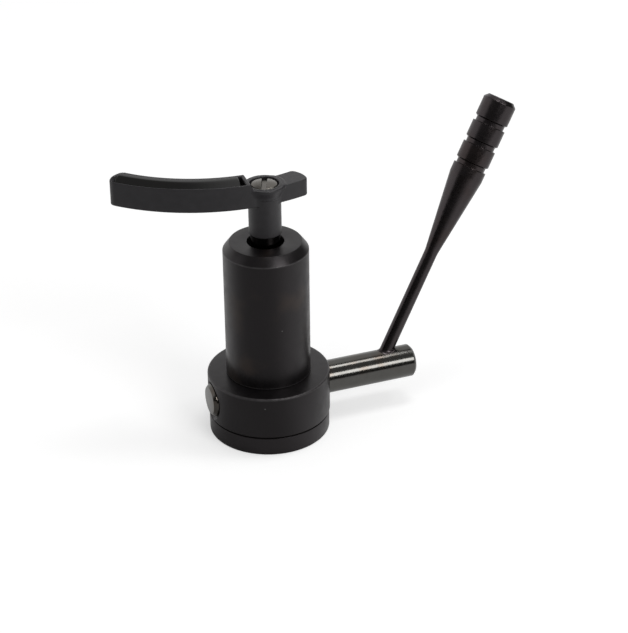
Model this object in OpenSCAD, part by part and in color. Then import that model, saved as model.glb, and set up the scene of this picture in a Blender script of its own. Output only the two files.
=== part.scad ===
// Tonearm lift (cueing lift) for a record player.
// A finger lever turns a cross shaft in the base. A spiral cam on the shaft raises a damped piston
// rod in the barrel, and the curved bar on the rod lifts the tonearm.
// Origin: centre of the base's resting face. +Z is up, +X runs along the shaft to the lever.

/* [Base] */
// Diameter of the base
base_d = 18.8; // [18:0.1:24]
// Height of the base's top face above the resting face
base_h = 9.85; // [9.5:0.05:11]
// Bevel of the base's top edge
base_edge = 0.25; // [0.1:0.05:0.6]
// How far the bottom cover's side lies inside the base's side
cover_inset = 0.125; // [0:0.025:0.6]
// Thickness of the bottom cover
cover_t = 3; // [2.4:0.1:3.1]
// Bevel of the cover's lower edge
cover_edge = 0.15; // [0.1:0.05:0.6]
// Bevel on both sides of the seam between the base and the cover
seam_edge = 0.17; // [0.05:0.01:0.2]

/* [Base screws] */
// Diameter of the circle through the cover screws
screw_circle_d = 13.8; // [13.6:0.1:14]
// Diameter of the circle through the fixing holes
fixing_circle_d = 15; // [14.6:0.1:15.2]
// Angle of the cover screws from the shaft
screw_angle = 41; // [38:1:48]
// Thread diameter of the cover screws
cover_screw_d = 2; // [1.6:0.1:2]
// Head diameter of the cover screws
cover_head_d = 3.6; // [3:0.1:3.8]
// Free space past the tips of the cover screws
screw_tip_gap = 0.4; // [0.2:0.1:2]
// Metal left between the base's blind holes and the barrel's foot
blind_web = 0.6; // [0.3:0.1:1.2]
// Diameter of the threaded fixing holes in the cover
fixing_d = 2.05; // [1.6:0.05:2.2]
// Diameter of the run-out above each fixing hole
fixing_runout_d = 2.7; // [2.2:0.1:2.8]

/* [Cam shaft] */
// Diameter of the shaft
shaft_d = 5.12; // [4.6:0.02:5.16]
// Height of the shaft's axis
shaft_z = 6.3; // [6.2:0.05:6.4]
// How far the shaft's plain end stands out of the base
shaft_proud = 0.3; // [0.1:0.05:1]
// Distance from the barrel's axis to the shaft's outer end
shaft_reach = 23.85; // [22:0.05:28]
// Bevel of the shaft's ends
shaft_edge = 0.42; // [0.1:0.02:0.6]
// Flare of the base's shaft holes at the outside
hole_flare = 0.6; // [0.2:0.05:0.7]
// Running clearance round the shaft
shaft_gap = 0.03; // [0.02:0.01:0.08]
// Distance of the friction rings from the barrel's axis
ring_x = 6.4; // [5.6:0.1:7]
// Section diameter of the friction rings
ring_section = 0.62; // [0.4:0.02:0.8]

/* [Control lever] */
// Distance of the lever's foot from the barrel's axis
lever_x = 18.35; // [17:0.05:19.5]
// Outward tilt of the lever
lever_tilt = 30; // [10:1:32]
// Backward lean of the lever at rest
lever_lean = 9.5; // [0:0.5:10]
// Diameter of the lever's thin rod
lever_rod_d = 2.08; // [1.4:0.02:2.2]
// Diameter of the grip
grip_d = 5.3; // [4:0.02:6]
// Distance from the shaft's axis to the start of the conical shoulder
cone_start = 18.8; // [14:0.1:24]
// Length of the conical shoulder
cone_len = 13.9; // [6:0.1:16]
// Distance from the shaft's axis to the lever's tip
lever_len = 45.85; // [44.5:0.05:52]
// Bevel of the lever's tip
tip_edge = 0.6; // [0.2:0.05:0.8]
// Number of grooves round the grip
groove_count = 3; // [1:1:3]
// Distance between the grooves
groove_pitch = 3.53; // [2:0.01:3.6]
// Width of each groove
groove_w = 0.95; // [0.4:0.05:1.2]
// Depth of each groove
groove_depth = 0.34; // [0.1:0.02:0.6]
// Distance from the shoulder's end to the first groove's middle
groove_first = 2; // [1:0.1:2.6]
// How far the lever's foot goes past the shaft's axis
foot_past_axis = 1.5; // [1:0.1:2]
// Diameter of the set screw that holds the lever's foot
set_screw_d = 2.5; // [2:0.1:3]
// How far the set screw sits below the shaft's end
set_screw_sunk = 0.5; // [0.2:0.1:1]

/* [Cam] */
// Lift of the rod for each radian that the lever turns
cam_rate = 1.9; // [1.5:0.05:2]
// Full turn of the lever, in degrees
lever_turn = 80; // [60:5:80]
// Thickness of the cam plate
cam_t = 2; // [1.4:0.1:2.2]
// Wall of the cam's boss round the shaft
cam_wall = 0.6; // [0.5:0.05:0.62]
// Length of the cam's boss on each side of its middle
boss_half = 3.2; // [2.4:0.1:3.2]
// Diameter of the cross pin through the boss and the shaft
cam_pin_d = 1; // [0.6:0.1:1.2]
// Thickness of each thrust washer
washer_t = 0.35; // [0.2:0.05:0.4]
// Running clearance at the cam, the follower and the washers
cam_gap = 0.02; // [0.01:0.005:0.05]
// Free space round the cam inside the base
chamber_gap = 0.25; // [0.15:0.05:0.3]

/* [Barrel] */
// Outside diameter of the barrel
barrel_d = 12.95; // [12.9:0.05:13.6]
// Height of the barrel above the base
barrel_h = 22.05; // [20:0.05:26]
// Width of the bevel at the barrel's top
crown_w = 1; // [0.4:0.05:1.2]
// Height of the bevel at the barrel's top
crown_h = 1.32; // [0.5:0.02:2]
// Bevel of the barrel's foot
foot_edge = 0.12; // [0.05:0.01:0.3]
// Diameter of the spigot that is pressed into the base
spigot_d = 11.8; // [11.4:0.1:12]
// Length of the spigot
spigot_h = 1.85; // [1.5:0.05:2]
// Diameter of the barrel's bore
bore_d = 10; // [9.8:0.1:10.2]
// Diameter of the barrel's mouth
mouth_d = 5.6; // [5.2:0.1:6]
// Thickness of the wall round the mouth
mouth_t = 1.4; // [1:0.1:2]

/* [Rod and piston] */
// Diameter of the rod
rod_d = 4.5; // [4.3:0.02:4.7]
// Running clearance of the rod in its bush
rod_gap = 0.03; // [0.02:0.01:0.06]
// Height of the piston's underside above the follower's centre at rest
piston_above_nose = 1.05; // [0.8:0.05:1.4]
// Length of the piston
piston_len = 5; // [4:0.1:6]
// Running clearance of the piston in the bore
piston_gap = 0.05; // [0.03:0.01:0.1]
// Diameter of the rod's spigot in the piston
rod_foot_d = 3; // [2.6:0.1:3.6]
// Length of the rod's spigot in the piston
rod_foot_len = 2; // [1.5:0.1:2.2]
// Diameter of the follower pin
nose_d = 2.2; // [1.8:0.1:2.4]
// How far the follower pin goes into the piston
nose_set = 2.4; // [1.5:0.1:2.6]
// Length of the guide bush above its flange
bush_len = 3; // [2:0.1:4]
// Outside diameter of the guide bush
bush_d = 7.6; // [7:0.1:8.2]
// Thickness of the bush's flange
flange_t = 0.8; // [0.5:0.1:1]
// Height of the rod seal
seal_h = 1.2; // [0.8:0.1:1.6]
// Wire diameter of the return spring
spring_wire = 0.5; // [0.4:0.05:0.6]
// Mean diameter of the return spring
spring_d = 7.8; // [7.2:0.1:8.2]
// Coils of the return spring
spring_coils = 6; // [4:1:7]
// Space left at each end of the return spring
spring_seat = 0.1; // [0.05:0.05:0.3]

/* [Lift arm] */
// Space between the barrel's top and the arm's sleeve at rest
sleeve_lift = 1.45; // [0.6:0.05:3]
// Outside diameter of the arm's sleeve
sleeve_d = 4.92; // [4.4:0.02:5.4]
// Length of the sleeve below the bar
sleeve_len = 5.2; // [3:0.05:8]
// Diameter of the rod inside the sleeve
rod_neck_d = 3.2; // [3:0.1:3.4]
// Clearance of the rod inside the sleeve
neck_gap = 0.03; // [0.02:0.01:0.06]
// Diameter of the hub's round top
hub_d = 6.1; // [5.5:0.05:6.2]
// How far the hub's round top stands out of the bar
hub_proud = 0.1; // [0.05:0.05:0.3]
// Thickness of the hub's lip
hub_lip = 0.4; // [0.2:0.05:0.6]
// Flare of the sleeve under the bar
sleeve_flare = 0.4; // [0.2:0.05:0.6]
// Height of the flare under the hub's lip
hub_flare = 1.2; // [0.4:0.1:1.6]
// Radius of the bar's centre line
arc_r = 25; // [20:0.5:40]
// Angle that the bar is set at on the rod
arm_yaw = 3.65; // [-30:0.05:30]
// Width of the bar
bar_w = 3.76; // [3:0.01:4.6]
// Height of the hub and the tail
tail_h = 2.65; // [2.4:0.05:3]
// Height of the tray
tray_h = 3.85; // [3.2:0.05:4.5]
// Angle of the arc from the rod to the tray's end
tray_angle = 52.9; // [35:0.1:60]
// Angle of the arc from the rod to the tail's end
tail_angle = 15.1; // [10:0.1:20]
// Angle of the arc from the rod to the start of the tray
tray_start_angle = 6; // [5.5:0.1:9]
// How far the tray's end slopes out towards the hub
tray_ramp = 0.45; // [0.1:0.05:0.8]
// Wall of the tray
tray_wall = 0.55; // [0.4:0.05:0.8]
// Thickness of the tray's floor
tray_floor = 1.3; // [0.8:0.1:1.6]
// Radius of the tray's crowned end
tray_end_r = 2.9; // [2.6:0.1:8]
// Radius of the tail's crowned end
tail_end_r = 3.7; // [2.6:0.1:8]

/* [Rubber strip] */
// How far the strip's top stands above the tray's rim
strip_proud = 0.1; // [0:0.02:0.4]
// Clearance of the strip at the tray's walls
strip_gap = 0.04; // [0.03:0.01:0.1]
// Free space between the strip's end and the hub
strip_short = 0.6; // [0.2:0.05:1.5]

/* [Clamp screw] */
// Thread diameter of the clamp screw
clamp_d = 2; // [1.6:0.1:2.2]
// Head diameter of the clamp screw
clamp_head_d = 4.06; // [3.6:0.02:4.2]
// Height of the clamp screw's head
clamp_head_h = 1.2; // [0.8:0.05:1.3]
// How far the head stands out of the hub
clamp_proud = 0.28; // [0.1:0.02:0.6]
// Clearance round the head
clamp_gap = 0.16; // [0.05:0.01:0.3]
// Length of the clamp screw below its head
clamp_len = 4.8; // [4:0.1:5.5]
// Plastic between the head and the rod
hub_web = 1; // [0.8:0.05:1.2]
// Width of the slot
slot_w = 0.8; // [0.4:0.02:0.9]
// Depth of the slot
slot_depth = 0.6; // [0.3:0.05:0.7]
// Direction of the slot
slot_angle = 67.5; // [0:0.5:180]

/* [Hidden] */
$fn = 72;
over = 0.1;          // overshoot of every cut past the surface that it opens
fit = 0.01;          // clearance between pieces that are fixed to each other
small_gap = 0.3;     // free space at blind ends

// heights, from the resting face up
barrel_top = base_h + barrel_h;
barrel_foot = base_h - spigot_h;
mouth_z = barrel_top - mouth_t;
seal_z = mouth_z - seal_h;
flange_z = seal_z - bush_len - flange_t;
sleeve_z = barrel_top + sleeve_lift;
bar_z = sleeve_z + sleeve_len;
hub_top = bar_z + tail_h + hub_proud;
tray_top = bar_z + tray_h;
head_z = hub_top + clamp_proud - clamp_head_h;
neck_top = head_z - hub_web - fit;
strip_z = tray_top + strip_proud;
pocket_z = bar_z + tray_floor;

// blind holes in the base
blind_top = barrel_foot - blind_web;
cover_screw_len = blind_top - screw_tip_gap;

// radii
base_r = base_d / 2;
cover_r = base_r - cover_inset;
shaft_r = shaft_d / 2;
shaft_hole_r = shaft_r + shaft_gap;
rod_r = rod_d / 2;
bore_r = bore_d / 2;
nose_r = nose_d / 2;
barrel_r = barrel_d / 2;
boss_r = shaft_r + fit + cam_wall;
lever_r = lever_rod_d / 2;
lever_hole_r = lever_r + fit;
clamp_r = clamp_d / 2;

// cam: the follower's centre runs on a spiral, so the lift is the same for each degree of turn
cam_web = 0.75;
pitch_r = shaft_r + cam_web + nose_r;
lobe_end = lever_turn + 6;
cam_max = pitch_r + cam_rate * lobe_end * PI / 180 - nose_r;
cam_sweep_r = cam_max + chamber_gap;
nose_z = shaft_z + pitch_r;
piston_z = nose_z + piston_above_nose;
piston_top = piston_z + piston_len;
slot_half = cam_t / 2 + chamber_gap;
boss_bay_half = boss_half + washer_t + 2 * cam_gap;
boss_bay_y = boss_r + chamber_gap;
pin_x = (boss_half + cam_t / 2) / 2;

// friction rings in the shaft's grooves
ring_floor_r = shaft_hole_r - cam_gap - ring_section;
ring_mid_r = shaft_hole_r - cam_gap - ring_section / 2;
ring_side = 0.1;
ring_groove_w = ring_section + 2 * ring_side;

// the set screw's point stops against the lever
lever_side_x = lever_x + lever_r / cos(lever_tilt);
set_point_r = 0.4;
set_point_gap = 0.1;
set_point_x = lever_side_x + set_point_r * tan(lever_tilt) + set_point_gap;
set_screw_r = set_screw_d / 2;

function polar(r, a) = [r * cos(a), r * sin(a)];

// spiral cam outline; x points to the lobe's side and y up, with the angle measured from the top
function pitch_at(a) = pitch_r + cam_rate * a * PI / 180;
function slant_at(a) = norm([pitch_at(a), cam_rate]);
function flank_in(a) = pitch_at(a) * (1 - (nose_r + cam_gap) / slant_at(a));
function flank_on(a) = cam_rate * (nose_r + cam_gap) / slant_at(a);
function cam_point(a) = [
    flank_in(a) * sin(a) + flank_on(a) * cos(a),
    flank_in(a) * cos(a) - flank_on(a) * sin(a)
];

// return spring: a round wire swept along a helix
spring_low = piston_top + spring_seat + spring_wire / 2;
spring_high = flange_z - spring_seat - spring_wire / 2;
ring_steps = 12;
wire_sides = 6;
spring_rings = spring_coils * ring_steps;
function spring_mid(i) = [
    spring_d / 2 * cos(360 * i / ring_steps),
    spring_d / 2 * sin(360 * i / ring_steps),
    spring_low + (spring_high - spring_low) * i / spring_rings
];
function spring_ring(i) = [
    for (k = [0 : wire_sides - 1])
        let (out = spring_wire / 2 * cos(360 * k / wire_sides))
        let (up = spring_wire / 2 * sin(360 * k / wire_sides))
        let (turn = 360 * i / ring_steps)
        spring_mid(i) + [out * cos(turn), out * sin(turn), up]
];

// cylinder along X, from x0 to x1, on the shaft's axis
module along_shaft(x0, x1, r) {
    translate([x0, 0, shaft_z])
        rotate([0, 90, 0])
            cylinder(r = r, h = x1 - x0);
}

module shaft_cone(x0, x1, r0, r1) {
    translate([x0, 0, shaft_z])
        rotate([0, 90, 0])
            cylinder(r1 = r0, r2 = r1, h = x1 - x0);
}

// washer with its hole
module ring(r_out, r_in, h) {
    difference() {
        cylinder(r = r_out, h = h);
        translate([0, 0, -over])
            cylinder(r = r_in, h = h + 2 * over);
    }
}

// two places opposite each other on a circle round the barrel's axis
module at_pair(circle_d, angle) {
    for (side = [0, 180])
        rotate(angle + side)
            translate([circle_d / 2, 0, 0])
                children();
}

module at_cover_screws() {
    at_pair(screw_circle_d, screw_angle)
        children();
}

// the fixing holes lie on the other side of the shaft
module at_fixing_holes() {
    at_pair(fixing_circle_d, -screw_angle)
        children();
}

module countersunk(extra) {
    head_r = cover_head_d / 2 + extra;
    stem_r = cover_screw_d / 2 + extra;
    cylinder(r1 = head_r, r2 = stem_r, h = head_r - stem_r);
}

module bottom_cover() {
    color([0.10, 0.10, 0.11])
    difference() {
        rotate_extrude()
            polygon([
                [0, 0],
                [cover_r - cover_edge, 0],
                [cover_r, cover_edge],
                [cover_r, cover_t - seam_edge],
                [cover_r - seam_edge, cover_t],
                [0, cover_t]
            ]);
        at_cover_screws() {
            translate([0, 0, -fit])
                countersunk(fit);
            translate([0, 0, -over])
                cylinder(r = cover_screw_d / 2 + fit, h = cover_t + 2 * over);
        }
        at_fixing_holes()
            translate([0, 0, -over])
                cylinder(d = fixing_d, h = cover_t + 2 * over);
    }
}

module cover_screws() {
    drive_w = 0.5;
    drive_depth = 0.45;
    color([0.32, 0.32, 0.34])
    at_cover_screws()
        difference() {
            union() {
                countersunk(0);
                cylinder(d = cover_screw_d, h = cover_screw_len);
            }
            translate([-cover_head_d / 2 - over, -drive_w / 2, -over])
                cube([cover_head_d + 2 * over, drive_w, drive_depth + over]);
        }
}

module base_collar() {
    color([0.12, 0.12, 0.13])
    difference() {
        rotate_extrude()
            polygon([
                [0, cover_t],
                [base_r - seam_edge, cover_t],
                [base_r, cover_t + seam_edge],
                [base_r, base_h - base_edge],
                [base_r - base_edge, base_h],
                [0, base_h]
            ]);
        // seat of the barrel's spigot
        translate([0, 0, barrel_foot - fit])
            cylinder(r = spigot_d / 2 + fit, h = spigot_h + over);
        // shaft hole, flared at both ends
        along_shaft(-base_r - over, base_r + over, shaft_hole_r);
        shaft_cone(-base_r - over, -base_r + hole_flare,
            shaft_hole_r + hole_flare + over, shaft_hole_r);
        shaft_cone(base_r - hole_flare, base_r + over,
            shaft_hole_r, shaft_hole_r + hole_flare + over);
        // bay for the cam's boss and slot for its lobe, open at the bottom for fitting the cam
        translate([-boss_bay_half, -boss_bay_y, cover_t - over])
            cube([2 * boss_bay_half, 2 * boss_bay_y, base_h]);
        translate([-slot_half, -cam_sweep_r, cover_t - over])
            cube([2 * slot_half, 2 * cam_sweep_r, shaft_z - cover_t + over]);
        along_shaft(-slot_half, slot_half, cam_sweep_r);
        // holes for the cover screws, and run-outs above the fixing holes
        at_cover_screws()
            translate([0, 0, cover_t - over])
                cylinder(r = cover_screw_d / 2 + fit, h = blind_top - cover_t + over);
        at_fixing_holes()
            translate([0, 0, cover_t - over])
                cylinder(d = fixing_runout_d, h = blind_top - cover_t + over);
    }
}

module barrel() {
    spigot_r = spigot_d / 2;
    color([0.12, 0.12, 0.13])
    difference() {
        rotate_extrude()
            polygon([
                [0, barrel_foot],
                [spigot_r, barrel_foot],
                [spigot_r, base_h],
                [barrel_r - foot_edge, base_h],
                [barrel_r, base_h + foot_edge],
                [barrel_r, barrel_top - crown_h],
                [barrel_r - crown_w, barrel_top],
                [0, barrel_top]
            ]);
        translate([0, 0, barrel_foot - over])
            cylinder(r = bore_r, h = flange_z + flange_t - barrel_foot + over);
        translate([0, 0, flange_z])
            cylinder(r = bush_d / 2 + fit, h = mouth_z - flange_z);
        translate([0, 0, mouth_z - over])
            cylinder(d = mouth_d, h = mouth_t + 2 * over);
        // room in the spigot for the shaft and for the cam's lobe
        along_shaft(-barrel_r, barrel_r, shaft_hole_r);
        along_shaft(-slot_half, slot_half, cam_sweep_r);
    }
}

module rod_bush() {
    color([0.72, 0.56, 0.30])
    difference() {
        translate([0, 0, flange_z]) {
            cylinder(r = bore_r - piston_gap, h = flange_t - fit);
            cylinder(d = bush_d, h = flange_t + bush_len);
        }
        translate([0, 0, flange_z - over])
            cylinder(r = rod_r + rod_gap, h = flange_t + bush_len + 2 * over);
    }
}

module rod_seal() {
    color([0.06, 0.06, 0.06])
    translate([0, 0, seal_z + fit])
        ring(bush_d / 2 - fit, rod_r + rod_gap, seal_h - 2 * fit);
}

module return_spring() {
    count = wire_sides * (spring_rings + 1);
    sides = [
        for (i = [0 : spring_rings - 1], k = [0 : wire_sides - 1])
            let (a = i * wire_sides + k)
            let (b = i * wire_sides + (k + 1) % wire_sides)
            each [[a, a + wire_sides, b], [b, a + wire_sides, b + wire_sides]]
    ];
    start_cap = [for (k = [1 : wire_sides - 2]) [0, k, k + 1]];
    last = count - wire_sides;
    end_cap = [for (k = [1 : wire_sides - 2]) [last, last + k + 1, last + k]];
    color([0.62, 0.62, 0.64])
    polyhedron(
        points = [for (i = [0 : spring_rings]) each spring_ring(i)],
        faces = concat(sides, start_cap, end_cap)
    );
}

module piston() {
    color([0.70, 0.56, 0.32])
    difference() {
        translate([0, 0, piston_z])
            cylinder(r = bore_r - piston_gap, h = piston_len);
        translate([0, 0, piston_z - over])
            cylinder(r = nose_r + fit, h = nose_set + fit + over);
        translate([0, 0, piston_top - rod_foot_len - fit])
            cylinder(r = rod_foot_d / 2 + fit, h = rod_foot_len + fit + over);
    }
}

module cam_follower() {
    color([0.60, 0.60, 0.62])
    rotate_extrude()
        intersection() {
            union() {
                translate([0, nose_z])
                    circle(r = nose_r);
                translate([0, nose_z])
                    square([nose_r, piston_z + nose_set - nose_z]);
            }
            translate([0, nose_z - nose_d])
                square([nose_d, piston_z + nose_set - nose_z + nose_d]);
        }
}

module piston_rod() {
    color([0.15, 0.13, 0.12])
    difference() {
        rotate_extrude()
            polygon([
                [0, piston_top - rod_foot_len],
                [rod_foot_d / 2, piston_top - rod_foot_len],
                [rod_foot_d / 2, piston_top],
                [rod_r, piston_top],
                [rod_r, sleeve_z],
                [rod_neck_d / 2, sleeve_z],
                [rod_neck_d / 2, neck_top],
                [0, neck_top]
            ]);
        translate([0, 0, head_z - clamp_len - small_gap])
            cylinder(r = clamp_r + fit, h = clamp_len);
    }
}

module clamp_screw() {
    head_r = clamp_head_d / 2;
    crown = 0.2;
    color([0.33, 0.31, 0.30])
    difference() {
        rotate_extrude()
            polygon([
                [0, head_z - clamp_len],
                [clamp_r, head_z - clamp_len],
                [clamp_r, head_z],
                [head_r, head_z],
                [head_r, head_z + clamp_head_h - crown],
                [head_r - crown, head_z + clamp_head_h],
                [0, head_z + clamp_head_h]
            ]);
        rotate(slot_angle)
            translate([-head_r - over, -slot_w / 2, head_z + clamp_head_h - slot_depth])
                cube([2 * (head_r + over), slot_w, slot_depth + over]);
    }
}

// the bar's outline: the arc's centre lies at [0, arc_r], and an angle runs to the tray's side when
// it is negative; each end is cut square, or crowned by a circle of the radius given
module sector(from_a, to_a) {
    reach = 3 * arc_r;
    mid_a = (from_a + to_a) / 2;
    polygon([[0, 0], polar(reach, from_a - 90), polar(reach, mid_a - 90), polar(reach, to_a - 90)]);
}

module bar_outline(half_w, tray_end, tail_end, tray_crown, tail_crown) {
    tray_in = tray_crown / arc_r * 180 / PI;
    tail_in = tail_crown / arc_r * 180 / PI;
    translate([0, arc_r])
        intersection() {
            difference() {
                circle(r = arc_r + half_w, $fn = 180);
                circle(r = arc_r - half_w, $fn = 180);
            }
            union() {
                sector(tray_end + tray_in, tail_end - tail_in);
                if (tray_crown > 0)
                    translate(polar(arc_r, tray_end + tray_in - 90))
                        circle(r = tray_crown);
                if (tail_crown > 0)
                    translate(polar(arc_r, tail_end - tail_in - 90))
                        circle(r = tail_crown);
            }
        }
}

// the angle that a length takes up along the bar's centre line
function on_arc(length) = length / arc_r * 180 / PI;

// the tray's side of the bar, which ends in a slope at the hub
module tray_block() {
    slope_rate = tray_ramp / (tray_h - tail_h);
    tray_out = bar_w;
    difference() {
        linear_extrude(tray_h)
            bar_outline(bar_w / 2, -tray_angle, -tray_start_angle + on_arc(tray_ramp), tray_end_r, 0);
        translate([0, arc_r, 0])
            rotate(-tray_start_angle)
                translate([0, bar_w - arc_r, 0])
                    rotate([90, 0, 0])
                        linear_extrude(2 * bar_w)
                            polygon([
                                [-over * slope_rate, tray_h + over],
                                [tray_ramp, tail_h],
                                [tray_out, tail_h],
                                [tray_out, tray_h + over]
                            ]);
    }
}

module lift_arm() {
    hub_r = hub_d / 2;
    sleeve_r = sleeve_d / 2;
    bar_r = bar_w / 2;
    pocket_end = -tray_angle + on_arc(tray_wall);
    pocket_start = -tray_start_angle - on_arc(tray_wall);
    color([0.20, 0.20, 0.21])
    rotate(arm_yaw)
    difference() {
        union() {
            translate([0, 0, bar_z]) {
                tray_block();
                linear_extrude(tail_h)
                    bar_outline(bar_r, -tray_start_angle, tail_angle, 0, tail_end_r);
            }
            translate([0, 0, sleeve_z])
                cylinder(r = sleeve_r, h = hub_top - sleeve_z);
            translate([0, 0, bar_z - sleeve_flare])
                cylinder(r1 = sleeve_r, r2 = sleeve_r + sleeve_flare, h = sleeve_flare);
            translate([0, 0, hub_top - hub_lip - hub_flare])
                cylinder(r1 = sleeve_r, r2 = hub_r, h = hub_flare);
            translate([0, 0, hub_top - hub_lip])
                cylinder(r = hub_r, h = hub_lip);
        }
        translate([0, 0, pocket_z])
            linear_extrude(tray_h)
                bar_outline(bar_r - tray_wall, pocket_end, pocket_start, tray_end_r - tray_wall, 0);
        translate([0, 0, sleeve_z - over])
            cylinder(r = rod_neck_d / 2 + neck_gap, h = head_z - hub_web - sleeve_z + over);
        translate([0, 0, sleeve_z])
            cylinder(r = clamp_r + neck_gap, h = hub_top - sleeve_z + over);
        translate([0, 0, head_z])
            cylinder(r = clamp_head_d / 2 + clamp_gap, h = hub_top - head_z + over);
    }
}

module rubber_strip() {
    side_gap = tray_wall + strip_gap;
    strip_end = -tray_angle + on_arc(side_gap);
    strip_start = -tray_start_angle - on_arc(tray_wall + strip_short);
    color([0.05, 0.05, 0.05])
    rotate(arm_yaw)
        translate([0, 0, pocket_z])
            linear_extrude(strip_z - pocket_z)
                bar_outline(bar_w / 2 - side_gap, strip_end, strip_start, tray_end_r - side_gap, 0);
}

// points along the lever's axis, from the shaft's axis outwards
module on_lever() {
    translate([lever_x, 0, shaft_z])
        rotate([-lever_lean, 0, 0])
            rotate([0, lever_tilt, 0])
                children();
}

module control_lever() {
    grip_r = grip_d / 2;
    cone_end = cone_start + cone_len;
    color([0.13, 0.12, 0.12])
    on_lever()
        difference() {
            rotate_extrude()
                polygon([
                    [0, -foot_past_axis],
                    [lever_r, -foot_past_axis],
                    [lever_r, cone_start],
                    [grip_r, cone_end],
                    [grip_r, lever_len - tip_edge],
                    [grip_r - tip_edge, lever_len],
                    [0, lever_len]
                ]);
            for (i = [0 : groove_count - 1])
                translate([0, 0, cone_end + groove_first + i * groove_pitch - groove_w / 2])
                    ring(grip_r + over, grip_r - groove_depth, groove_w);
        }
}

module cam_shaft() {
    start_x = -base_r - shaft_proud;
    color([0.30, 0.31, 0.33])
    difference() {
        union() {
            along_shaft(start_x + shaft_edge, shaft_reach - shaft_edge, shaft_r);
            shaft_cone(start_x, start_x + shaft_edge, shaft_r - shaft_edge, shaft_r);
            shaft_cone(shaft_reach - shaft_edge, shaft_reach, shaft_r, shaft_r - shaft_edge);
        }
        // grooves of the friction rings
        for (x = [-ring_x, ring_x])
            translate([x - ring_groove_w / 2, 0, shaft_z])
                rotate([0, 90, 0])
                    ring(shaft_r + over, ring_floor_r - fit, ring_groove_w);
        // cross hole of the cam's pin
        translate([pin_x, 0, shaft_z - shaft_d])
            cylinder(r = cam_pin_d / 2 + fit, h = 2 * shaft_d);
        // seat of the lever's foot and thread of its set screw
        on_lever()
            translate([0, 0, -foot_past_axis - fit])
                cylinder(r = lever_hole_r, h = foot_past_axis + shaft_d);
        along_shaft(lever_x, shaft_reach + over, set_screw_r + fit);
    }
}

module lift_cam() {
    outline = [for (a = [0 : 3 : lobe_end]) cam_point(a)];
    color([0.66, 0.66, 0.68])
    difference() {
        union() {
            along_shaft(-boss_half, boss_half, boss_r);
            // the plate's outline is turned so that its top is up and its lobe lies towards -Y
            translate([-cam_t / 2, 0, shaft_z])
                rotate([90, 0, -90])
                    translate([0, 0, -cam_t])
                        linear_extrude(cam_t)
                            polygon(concat([[0, 0]], outline));
        }
        along_shaft(-boss_half - over, boss_half + over, shaft_r + fit);
        translate([pin_x, 0, shaft_z - shaft_d])
            cylinder(r = cam_pin_d / 2 + fit, h = 2 * shaft_d);
    }
}

module cam_pin() {
    color([0.60, 0.60, 0.62])
    translate([pin_x, 0, shaft_z - boss_r])
        cylinder(d = cam_pin_d, h = 2 * boss_r - fit);
}

module thrust_washers() {
    color([0.85, 0.84, 0.80])
    for (side = [-1, 1])
        translate([side * (boss_half + cam_gap + washer_t / 2) - washer_t / 2, 0, shaft_z])
            rotate([0, 90, 0])
                ring(boss_r, shaft_hole_r, washer_t);
}

module shaft_o_rings() {
    color([0.05, 0.05, 0.05])
    for (x = [-ring_x, ring_x])
        translate([x, 0, shaft_z])
            rotate([0, 90, 0])
                rotate_extrude()
                    translate([ring_mid_r, 0])
                        circle(d = ring_section, $fn = 32);
}

module lever_set_screw() {
    socket_r = 0.7;
    socket_depth = 1.2;
    screw_end = shaft_reach - set_screw_sunk;
    cone_end = set_point_x + set_screw_r - set_point_r;
    color([0.30, 0.30, 0.32])
    difference() {
        union() {
            shaft_cone(set_point_x, cone_end, set_point_r, set_screw_r);
            along_shaft(cone_end, screw_end, set_screw_r);
        }
        translate([screw_end - socket_depth, 0, shaft_z])
            rotate([0, 90, 0])
                cylinder(r = socket_r, h = socket_depth + over, $fn = 6);
    }
}

bottom_cover();
cover_screws();
base_collar();
barrel();
rod_bush();
rod_seal();
return_spring();
piston();
cam_follower();
piston_rod();
clamp_screw();
lift_arm();
rubber_strip();
cam_shaft();
lift_cam();
cam_pin();
thrust_washers();
shaft_o_rings();
control_lever();
lever_set_screw();
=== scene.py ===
# Visual model of a tonearm lift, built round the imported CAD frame.
import math

import bmesh
import bpy
import numpy as np
from mathutils import Matrix, Vector


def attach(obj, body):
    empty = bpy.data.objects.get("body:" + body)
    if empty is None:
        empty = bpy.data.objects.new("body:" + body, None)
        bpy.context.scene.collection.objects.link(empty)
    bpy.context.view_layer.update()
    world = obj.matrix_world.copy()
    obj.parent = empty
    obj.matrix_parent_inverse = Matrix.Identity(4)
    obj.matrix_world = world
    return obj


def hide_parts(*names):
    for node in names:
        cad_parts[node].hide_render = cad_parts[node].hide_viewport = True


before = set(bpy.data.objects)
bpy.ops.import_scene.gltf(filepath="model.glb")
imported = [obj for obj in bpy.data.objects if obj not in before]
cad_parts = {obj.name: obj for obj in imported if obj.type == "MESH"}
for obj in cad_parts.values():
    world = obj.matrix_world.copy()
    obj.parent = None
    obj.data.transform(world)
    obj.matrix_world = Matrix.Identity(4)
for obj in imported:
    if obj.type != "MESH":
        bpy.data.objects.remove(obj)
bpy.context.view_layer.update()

MM = 0.001
bpy.context.scene.view_settings.view_transform = "Standard"

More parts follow.
